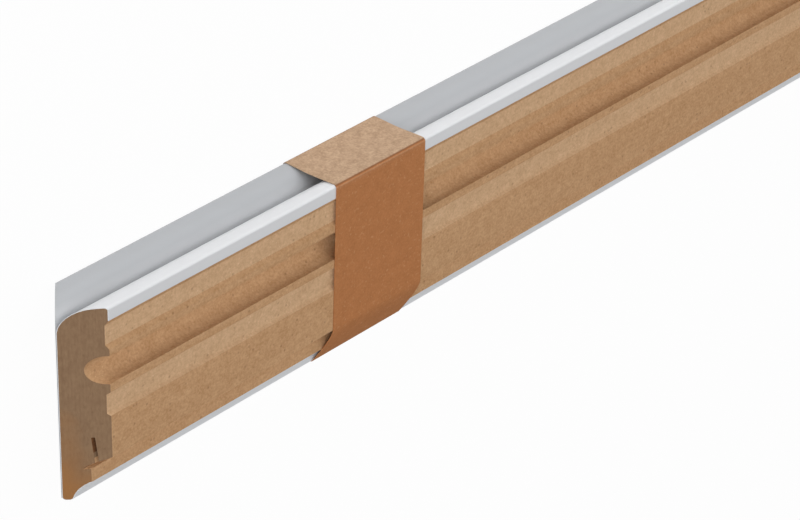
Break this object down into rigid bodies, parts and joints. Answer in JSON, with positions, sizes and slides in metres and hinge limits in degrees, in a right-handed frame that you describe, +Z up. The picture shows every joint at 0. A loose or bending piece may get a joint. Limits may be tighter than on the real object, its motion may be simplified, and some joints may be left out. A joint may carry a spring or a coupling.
{
  "type": "skirting moulding pair",
  "caption": "White-faced MDF skirting mouldings packed face to face and tied with paper bands, mitred at the near end, with a cable groove and a clip kerf in each raw back.",
  "frame": {"origin": "middle of the pack's length and height on the surface it lies on", "axes": "+X along the length to the mitred ends, -Y to the rounded top edges, +Y to the toes, +Z up out of the upper moulding's raw back"},
  "size_m": [2.4, 0.0808, 0.027],
  "materials": {
    "mdf": "raw machined MDF on the back and ends, smooth white coat on the face, top edge and toe",
    "kraft_paper": "matt brown kraft paper"
  },
  "bodies": {
    "root": {"upper_moulding": "mdf", "lower_moulding": "mdf", "near_band": "kraft_paper", "far_band": "kraft_paper"}
  },
  "joints": []
}
